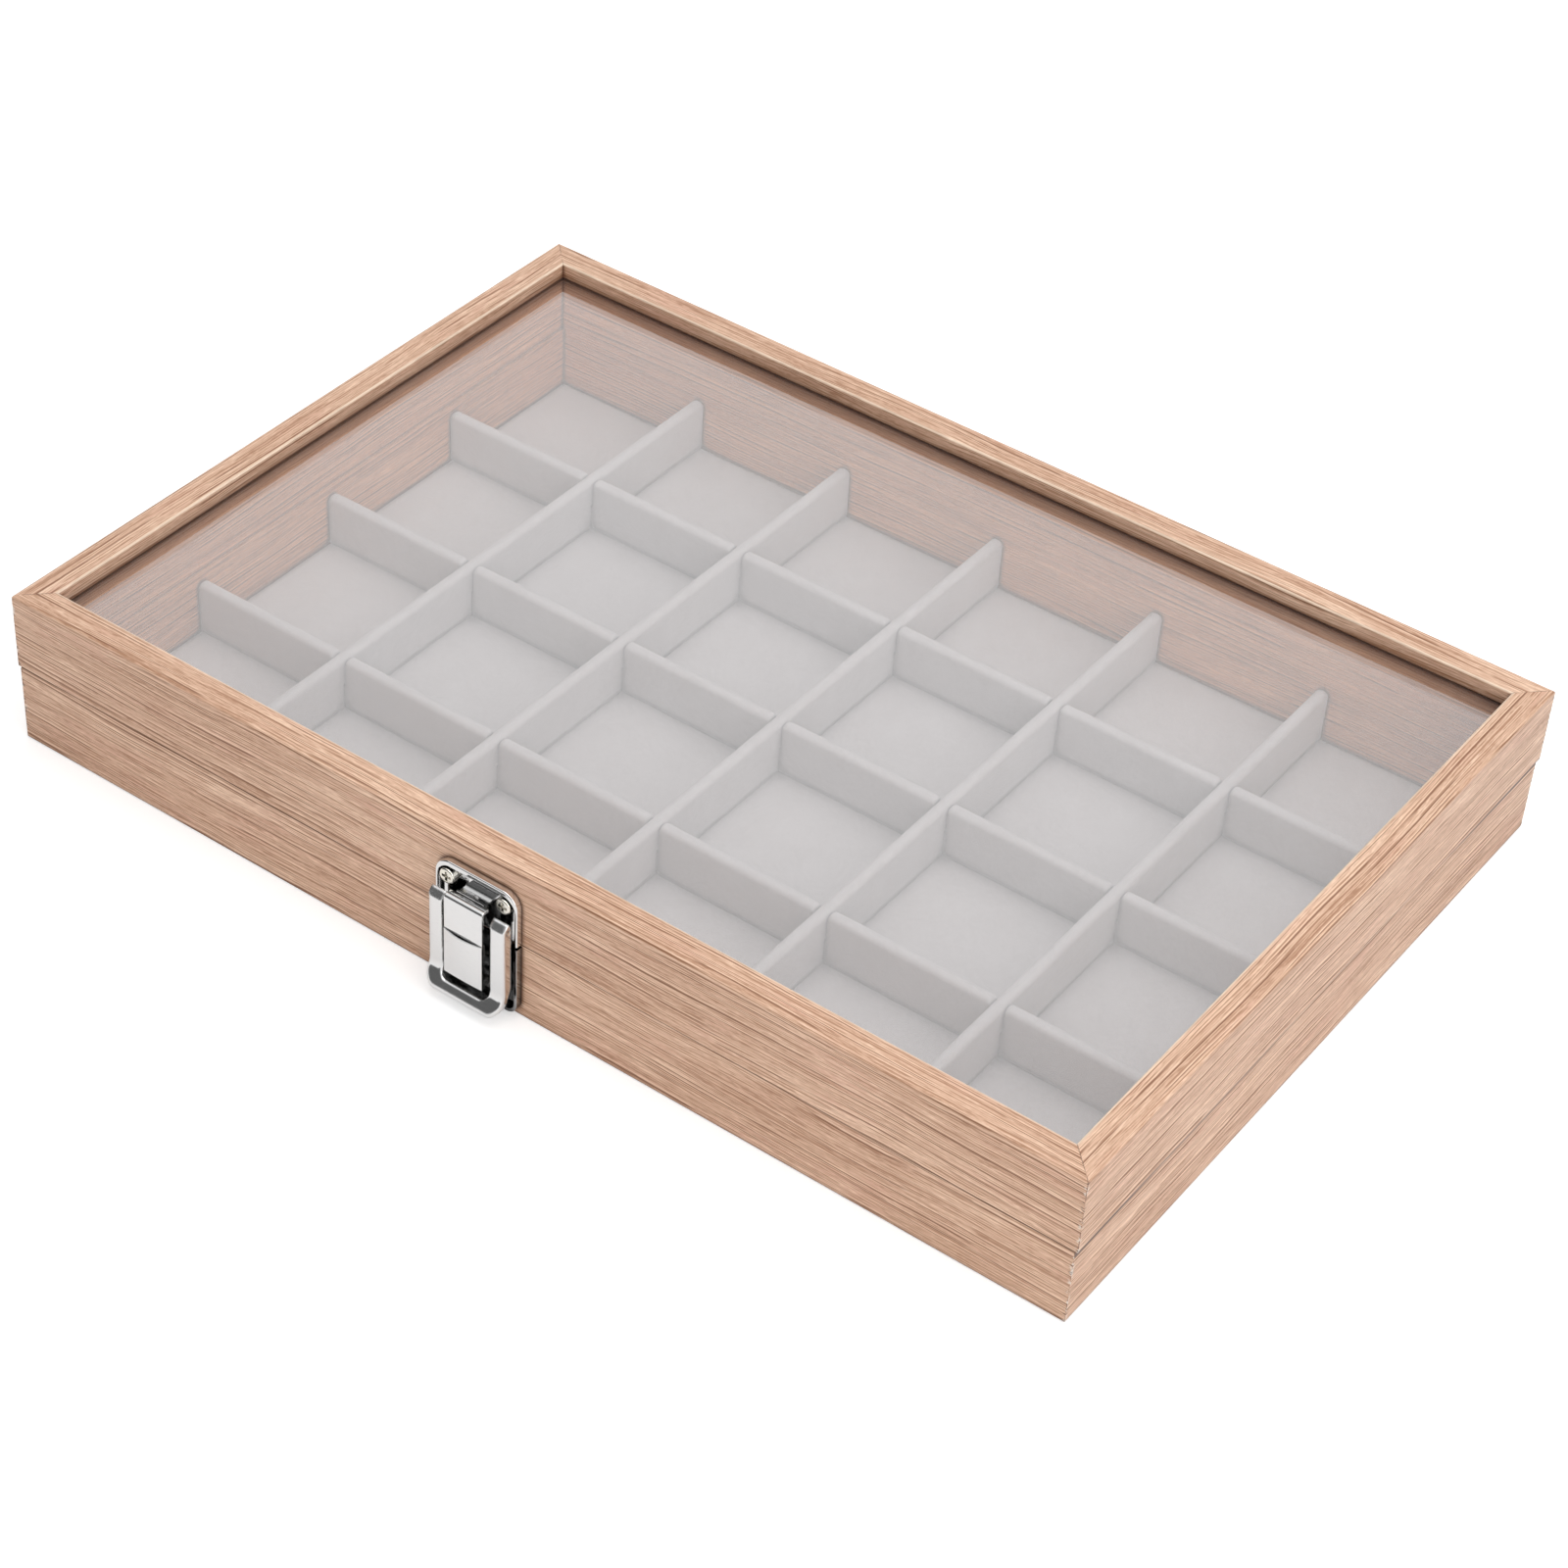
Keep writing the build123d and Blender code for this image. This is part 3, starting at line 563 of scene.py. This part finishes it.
def boardMaterial(name, group, part, side, size, case, seed):
    # side is the outward direction of the board: its grain runs square to it, round the rim
    along, inward = directions[side]
    axis = 0 if along[0] else 1
    halfRun, halfDepth = size[axis] / 2, size[1 - axis] / 2
    material, tree, shader = newMaterial(name)
    spot = objectSpot(tree)
    run = vectorMath(tree, "DOT_PRODUCT", spot, along)["Value"]
    depth = calc(tree, "ADD", vectorMath(tree, "DOT_PRODUCT", spot, inward)["Value"], halfDepth)
    level = heightOf(tree, spot)
    toEnd = calc(tree, "SUBTRACT", halfRun, calc(tree, "ABSOLUTE", run))
    at = {"spot": spot, "run": run, "depth": depth, "level": level, "toEnd": toEnd}
    inputs = {"Along": run, "Across": calc(tree, "ADD", level, depth), "Seed": seed}
    wood = put(tree, "ShaderNodeGroup", inputs, node_tree=group).outputs

    color = innerFaceColor(tree, at, case, wood["Color"])
    # dark joints, and on the base's ends painted shade under the lid's overhang
    gap = calc(tree, "MAXIMUM", mitreGap(tree, at), seamGapAndShade(tree, at, part, side, case, seed))
    color = tint(tree, color, gap, 1.0, oak["joint"])
    for look, other in ((foil["chips"], "chip"), (foil["slits"], "joint")):
        color = tint(tree, color, frayed(tree, at, look), look["share"], oak[other])
    closed = fade(tree, openness(tree, oak["reach"], 8), *oak["closed"])
    roughest = oak["rough"] + oak["lineRough"]
    fill(tree, shader.inputs, {
        "Base Color": blend(tree, closed, color, opaque(oak["corner"])),
        "Roughness": fade(tree, wood["Lines"], 0.0, 1.0, oak["rough"], roughest),
        "Normal": bumped(tree, wood["Height"], oak["bump"]),
        "Specular IOR Level": 0.5,
    })
    return material


def dressBoards():
    group = oakGroup()
    low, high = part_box("lid_back_rail")
    case = {
        "wall": high[1] - low[1],
        "top": high[2],
        "seam": low[2],
        "glass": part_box("glass_pane")[1][2],
        "overhang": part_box("lid_right_rail")[1][0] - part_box("base_right_board")[1][0],
    }
    for part, kind in (("lid", "rail"), ("base", "board")):
        size = (
            2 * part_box(f"{part}_right_{kind}")[1][0],
            2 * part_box(f"{part}_back_{kind}")[1][1],
        )
        for count, side in enumerate(directions):
            name = f"oak{part.title()}{side.title()}"
            seed = grain["seeds"][part] + grain["nextSeed"] * count
            material = boardMaterial(name, group, part, side, size, case, seed)
            dress([f"{part}_{side}_{kind}"], material)


# Velvet

velvet = {
    "color": (0.570, 0.532, 0.526),
    "dark": (0.525, 0.490, 0.484),
    "light": (0.660, 0.632, 0.630),
    "corner": (0.250, 0.225, 0.230),
    "reach": 5.0 * mm,  # of the shade in corners
    "closed": (0.80, 0.30, 0.0, 0.55),
    # the nap's noises, (rate per metre, detail, roughness), and the span of each that shows
    "fuzz": {"noise": (3800.0, 2.0, 0.6), "span": (0.62, 0.78), "share": 0.6},
    "tufts": {"noise": (900.0, 3.0, 0.6), "span": (0.30, 0.70)},
    "brushed": {"noise": (70.0, 2.0, 0.5), "span": (0.40, 0.75), "share": 0.20},
    "tuftHeight": 0.4,  # against the fuzz
    "bump": {"strength": 0.6, "depth": 0.25 * mm},
    "rough": 0.92,
    "sheen": 0.6,
    "sheenRough": 0.4,
    "gloss": 0.15,
}
strip = {
    "step": 0.8 * mm,  # of the grid along a divider
    "shoulder": 1.2 * mm,  # how far from a crossing the nap begins to turn down
    # places of the grid's extra points next to a crossing, in shoulders
    "near": (0.005, 0.05, 0.15, 0.3, 0.5, 0.75, 1.0),
    "pinch": 0.25 * mm,
    "slack": 0.06 * mm,
    "lap": 0.15 * mm,
    "belly": 0.05 * mm,  # how far the sides draw in halfway up
    "round": 0.85,  # radius of the top, as a share of half the thickness
    "waves": ((18, 0.5), (47, 0.3), (110, 0.2)),  # per metre, and their share of the slack
    "waveUp": 0.6,
    "waveSide": 0.8,
    "sideRows": 9,
    "topRows": 7,
}
lining = {
    "counts": (331, 221),  # points of the grid, along and across
    "soft": 0.6 * mm,  # drop of the rolled edge
    "roll": 3.0,  # its width, in drops
    "low": 0.05 * mm,  # how far the nap stays under the card's box
    "wave": 0.04 * mm,
    "waveRates": (390, 310, 60),
}


def velvetMaterial():
    material, tree, shader = newMaterial("greyVelvet")
    spot = objectSpot(tree)
    fuzz = noise(tree, spot, *velvet["fuzz"]["noise"])
    tufts = noise(tree, spot, *velvet["tufts"]["noise"])
    brushed = noise(tree, spot, *velvet["brushed"]["noise"])
    thick = fade(tree, tufts, *velvet["tufts"]["span"])
    color = blend(tree, thick, opaque(velvet["dark"]), opaque(velvet["color"]))
    for mask, look in ((brushed, velvet["brushed"]), (fuzz, velvet["fuzz"])):
        color = tint(tree, color, fade(tree, mask, *look["span"]), look["share"], velvet["light"])
    height = calc(tree, "MULTIPLY_ADD", tufts, velvet["tuftHeight"], fuzz)
    closed = fade(tree, openness(tree, velvet["reach"], 6), *velvet["closed"])
    fill(tree, shader.inputs, {
        "Base Color": blend(tree, closed, color, opaque(velvet["corner"])),
        "Roughness": velvet["rough"],
        "Normal": bumped(tree, height, velvet["bump"]),
        "Sheen Weight": velvet["sheen"],
        "Sheen Roughness": velvet["sheenRough"],
        "Specular IOR Level": velvet["gloss"],
    })
    return material


def smoothPiece(name, points, faces, material):
    mesh = bpy.data.meshes.new(name)
    mesh.from_pydata(points.reshape(-1, 3).tolist(), [], faces)
    mesh.update()
    mesh.materials.append(material)
    mesh.shade_smooth()
    return addObject(name, mesh)


def tubeFaces(stations, ring):
    # faces of a row of rings: each ring closes on itself, and both ends get a cap
    row = np.arange(stations - 1)[:, None] * ring
    col = np.arange(ring)[None, :]
    nextCol = (col + 1) % ring
    quads = [row + col, row + nextCol, row + ring + nextCol, row + ring + col]
    faces = np.stack(quads, axis=-1).reshape(-1, 4).tolist()
    caps = [list(range(ring))[::-1], list(range((stations - 1) * ring, stations * ring))]
    return faces + caps


def stationsAlong(start, stop, crossings, slot):
    # even steps along a divider, and closer ones next to each crossing and both ends
    edges = [start, stop] + [place + side * slot for place in crossings for side in (-1, 1)]
    offsets = strip["shoulder"] * np.array(strip["near"])
    offsets = np.concatenate([-offsets[::-1], offsets])
    near = (np.array(edges)[:, None] + offsets).ravel()
    even = np.arange(start, stop, strip["step"])
    return np.unique(np.clip(np.concatenate([even, near, [stop]]), start, stop))


def divider(name, node, lengthwise, crossings, material):
    # Cross-section: two straight sides and a rounded top, carried along the divider.
    # Height and thickness shrink by a quarter circle next to a crossing and at both ends.
    # Slow sine waves, the same for top and sides, keep it from being dead straight.
    low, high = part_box(node)
    axis = 0 if lengthwise else 1
    start, stop = low[axis], high[axis]
    middle = (low[1 - axis] + high[1 - axis]) / 2
    half = (high[1 - axis] - low[1 - axis]) / 2
    tall = high[2] - low[2]
    slot = half + strip["lap"]
    where = stationsAlong(start, stop, crossings, slot)

    inSlot = np.zeros_like(where, dtype=bool)
    nearest = np.minimum(where - start, stop - where)
    for place in crossings:
        gap = np.abs(where - place) - slot
        inSlot |= gap < 0
        if lengthwise:
            nearest = np.minimum(nearest, np.abs(gap))
    turn = np.clip(1 - nearest / strip["shoulder"], 0, 1)
    drop = strip["shoulder"] * (1 - np.sqrt(np.maximum(1 - turn**2, 0)))
    rng = np.random.default_rng(len(name) + int(1e4 * abs(middle)))
    waves = sum(
        np.sin(where * rate * 2 * np.pi + rng.uniform(0, 2 * np.pi)) * share
        for rate, share in strip["waves"]
    ) * strip["slack"]
    top = low[2] + tall - drop - strip["slack"] + waves * strip["waveUp"]
    width = half - strip["pinch"] * turn**2 - strip["slack"]
    bottom = np.full_like(where, low[2])
    # a lengthwise divider is slotted from above, and the others from below
    if lengthwise:
        top = np.where(inSlot, low[2] + tall / 2 - strip["lap"], top)
    else:
        bottom = np.where(inSlot, low[2] + tall / 2 + strip["lap"], bottom)

    radius = strip["round"] * width
    arc = np.radians(np.linspace(0, 90, strip["topRows"]))
    rise = np.linspace(0, 1, strip["sideRows"])[None, :]
    height = bottom[:, None] + rise * (top - radius - bottom)[:, None]
    straight = width[:, None] - np.sin(np.pi * rise) * strip["belly"]
    curve = width[:, None] - radius[:, None] * (1 - np.cos(arc))
    curveHeight = top[:, None] - radius[:, None] * (1 - np.sin(arc))
    out = np.concatenate([straight[:, :-1], curve], axis=1)
    up = np.concatenate([height[:, :-1], curveHeight], axis=1)
    # up one side and down the other
    across = middle + np.concatenate([out, -out[:, ::-1]], axis=1)
    across = across + waves[:, None] * strip["waveSide"]
    level = np.concatenate([up, up[:, ::-1]], axis=1)
    run = np.broadcast_to(where[:, None], across.shape)
    if lengthwise:
        points = np.stack([run, across, level], axis=-1)[:, ::-1]
    else:
        points = np.stack([across, run, level], axis=-1)
    return smoothPiece(name, points, tubeFaces(*points.shape[:2]), material)


def slabPiece(name, top, under, material):
    # two equal grids, one above the other, joined round their border; the lower is one face
    rows, cols = top.shape[:2]
    index = np.arange(rows * cols).reshape(rows, cols)
    cells = [index[:-1, :-1], index[1:, :-1], index[1:, 1:], index[:-1, 1:]]
    upper = np.stack(cells, axis=-1).reshape(-1, 4)
    border = np.concatenate([index[:-1, 0], index[-1, :-1], index[:0:-1, -1], index[0, :0:-1]])
    lower = rows * cols + np.arange(len(border))
    sides = np.stack([border, lower, np.roll(lower, -1), np.roll(border, -1)], axis=-1)
    faces = upper.tolist() + sides.tolist() + [lower[::-1].tolist()]
    points = np.concatenate([top.reshape(-1, 3), under.reshape(-1, 3)[border]])
    return smoothPiece(name, points, faces, material)


def floorLining(name, node, material):
    # a card whose edge rolls down by the square of its nearness, its nap a little uneven
    low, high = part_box(node)
    x = np.linspace(low[0], high[0], lining["counts"][0])
    y = np.linspace(low[1], high[1], lining["counts"][1])
    gridX, gridY = np.meshgrid(x, y, indexing="ij")
    toEdge = np.minimum.reduce([gridX - low[0], high[0] - gridX, gridY - low[1], high[1] - gridY])
    turn = np.clip(1 - toEdge / (lining["roll"] * lining["soft"]), 0, 1)
    level = high[2] - lining["soft"] * turn**2 - lining["low"]
    rateX, rateY, slant = lining["waveRates"]
    wave = np.sin(gridX * rateX) * np.sin(gridY * rateY + gridX * slant)
    level = level + lining["wave"] * wave
    top = np.stack([gridX, gridY, level], axis=-1)
    under = np.stack([gridX, gridY, np.full_like(level, low[2])], axis=-1)
    return slabPiece(name, top, under, material)


def lay(piece, node):
    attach(piece, "base")
    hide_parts(node)


def addVelvet():
    material = velvetMaterial()
    longNodes = [f"long_divider_{count}" for count in (1, 2, 3)]
    crossNodes = [f"cross_divider_{count}" for count in (1, 2, 3, 4, 5)]
    middles = {name: sum(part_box(name), Vector()) / 2 for name in longNodes + crossNodes}
    for names, lengthwise, others in (
        (longNodes, True, crossNodes),
        (crossNodes, False, longNodes),
    ):
        crossings = [middles[other][0 if lengthwise else 1] for other in others]
        for name in names:
            lay(divider(f"velvet_{name}", name, lengthwise, crossings, material), name)
    lay(floorLining("velvet_floor_lining", "floor_lining", material), "floor_lining")


# Metal, glass and board

# edge is the radius that its corners look rounded by; reach and shade are of the painted shade in
# its recesses
metals = {
    "plate": {"rough": 0.05, "edge": 0.25 * mm, "reach": 1.8 * mm, "shade": (0.82, 0.36)},
    "basePlate": {"rough": 0.05, "edge": 0.25 * mm, "reach": 8.0 * mm, "shade": (0.90, 0.40)},
    "lever": {"rough": 0.06, "edge": 1.3 * mm, "reach": 3.5 * mm, "shade": (0.72, 0.30)},
    "cover": {"rough": 0.06, "edge": 0.4 * mm, "reach": 2.0 * mm, "shade": (0.72, 0.30)},
    "pin": {"rough": 0.14, "edge": 0.15 * mm, "reach": 4.0 * mm, "shade": (0.80, 0.40)},
    "screw": {"rough": 0.14, "edge": 0.15 * mm, "reach": 0.7 * mm, "shade": (0.72, 0.30)},
    "hinge": {"rough": 0.24, "edge": 0.12 * mm, "reach": 0.7 * mm, "shade": (0.72, 0.30)},
}
chrome = (0.78, 0.78, 0.78)
nickel = (0.82, 0.79, 0.71)
steel = (0.62, 0.60, 0.57)
recessShade = (0.010, 0.009, 0.009)  # painted shade: the color that a recess in the metal falls to
# marks on all of the metal, their noises as the velvet's are
polish = {
    "smear": {"noise": (260.0, 3.0, 0.6), "span": (0.35, 0.75)},
    "grit": {"noise": (2600.0, 2.0, 0.5), "span": (0.66, 0.80)},
    "wear": (0.02, 0.5),  # roughness that each of them adds: this, and this share of the metal's
    "scratch": {"noise": (500.0, 2.0, 0.7), "span": (0.55, 0.80), "share": 0.6},
    "squash": (1.0, 1.0, 14.0),
    "dull": 0.86,  # times the metal's color, in scratches
    "bump": {"strength": 0.05, "depth": 0.02 * mm},
    "recessShadeShare": 0.95,  # of the painted shade, in the deepest recess
}
# the pane's veil is the white studio mirrored in it, so it ends where the pane mirrors the rails
glass = {
    "color": (0.960, 0.955, 0.965),
    "bend": 1.50,
    "clear": 0.90,
    "pass": 0.97,
    "coatBend": 2.02,
}
panel = {
    "light": (0.30, 0.18, 0.10),
    "dark": (0.15, 0.085, 0.045),
    "fibres": {"noise": (700.0, 4.0, 0.7, 1.5), "span": (0.3, 0.7)},  # the last is their bend
    "rough": 0.8,
    "bump": {"strength": 0.3, "depth": 0.1 * mm},
}


def metalMaterial(name, color, look):
    material, tree, shader = newMaterial(name)
    spot = objectSpot(tree)
    smears, grits, scratches = polish["smear"], polish["grit"], polish["scratch"]
    smear = noise(tree, spot, *smears["noise"])
    grit = noise(tree, spot, *grits["noise"])
    scratch = noise(tree, squashed(tree, spot, polish["squash"]), *scratches["noise"])
    least, share = polish["wear"]
    wear = least + share * look["rough"]
    rough = fade(tree, smear, *smears["span"], look["rough"], look["rough"] + wear)
    rough = calc(tree, "ADD", rough, fade(tree, grit, *grits["span"], 0.0, wear))
    rounded = put(tree, "ShaderNodeBevel", {"Radius": look["edge"]}, samples=8).outputs[0]
    # painted shade: where other faces stand near, the metal's color falls toward near-black
    recess = openness(tree, look["reach"], 12)
    shade = fade(tree, recess, *look["shade"], 0.0, polish["recessShadeShare"])
    dull = tuple(part * polish["dull"] for part in color)
    scratched = fade(tree, scratch, *scratches["span"], 0.0, scratches["share"])
    metal = blend(tree, scratched, opaque(color), opaque(dull))
    fill(tree, shader.inputs, {
        "Base Color": blend(tree, shade, metal, opaque(recessShade)),
        "Metallic": 1.0,
        "Roughness": rough,
        "Normal": bumped(tree, scratch, polish["bump"], rounded),
    })
    return material


def glassMaterial():
    # shadow and diffuse rays pass, so that the lamps light the compartments
    material, tree, shader = newMaterial("paneGlass")
    fill(tree, shader.inputs, {
        "Base Color": opaque(glass["color"]),
        "Transmission Weight": glass["pass"],
        "Roughness": 0.0,
        "IOR": glass["bend"],
        "Coat Weight": 1.0,
        "Coat Roughness": 0.0,
        "Coat IOR": glass["coatBend"],
    })
    path = put(tree, "ShaderNodeLightPath").outputs
    through = calc(tree, "MAXIMUM", path["Is Shadow Ray"], path["Is Diffuse Ray"])
    clear = put(tree, "ShaderNodeBsdfTransparent", {"Color": opaque((glass["clear"],) * 3)})
    inputs = {0: through, 1: shader.outputs[0], 2: clear.outputs[0]}
    show(tree, put(tree, "ShaderNodeMixShader", inputs))
    return material


def panelMaterial():
    material, tree, shader = newMaterial("brownBoard")
    fibres = noise(tree, objectSpot(tree), *panel["fibres"]["noise"])
    pale = fade(tree, fibres, *panel["fibres"]["span"])
    fill(tree, shader.inputs, {
        "Base Color": blend(tree, pale, opaque(panel["dark"]), opaque(panel["light"])),
        "Roughness": panel["rough"],
        "Normal": bumped(tree, fibres, panel["bump"]),
    })
    return material


def dressMetal():
    hinges = [name for name in nodes if name.startswith("hinge_")]
    for look, color, names in (
        ("plate", chrome, ["keeper_plate"]),
        ("basePlate", chrome, ["latch_base_plate"]),
        ("lever", chrome, ["latch_lever"]),
        ("cover", chrome, ["link_cover", "hook_strap"]),
        ("pin", nickel, ["latch_base_screws", "lever_rivets", "link_pin"]),
        ("screw", nickel, ["keeper_screws"]),
        ("hinge", steel, hinges),
    ):
        dress(names, metalMaterial(f"{look}Metal", color, metals[look]))
    dress(["glass_pane"], glassMaterial())
    dress(["bottom_panel"], panelMaterial())


bpy.context.scene.view_settings.view_transform = "Standard"
addCamera()
addLamps()
addFloor()
addDarkWall()
addWorld()
print("studio ready")
dressBoards()
print("boards dressed")
addVelvet()
print("velvet laid")
dressMetal()
print("metal, glass and panel dressed")
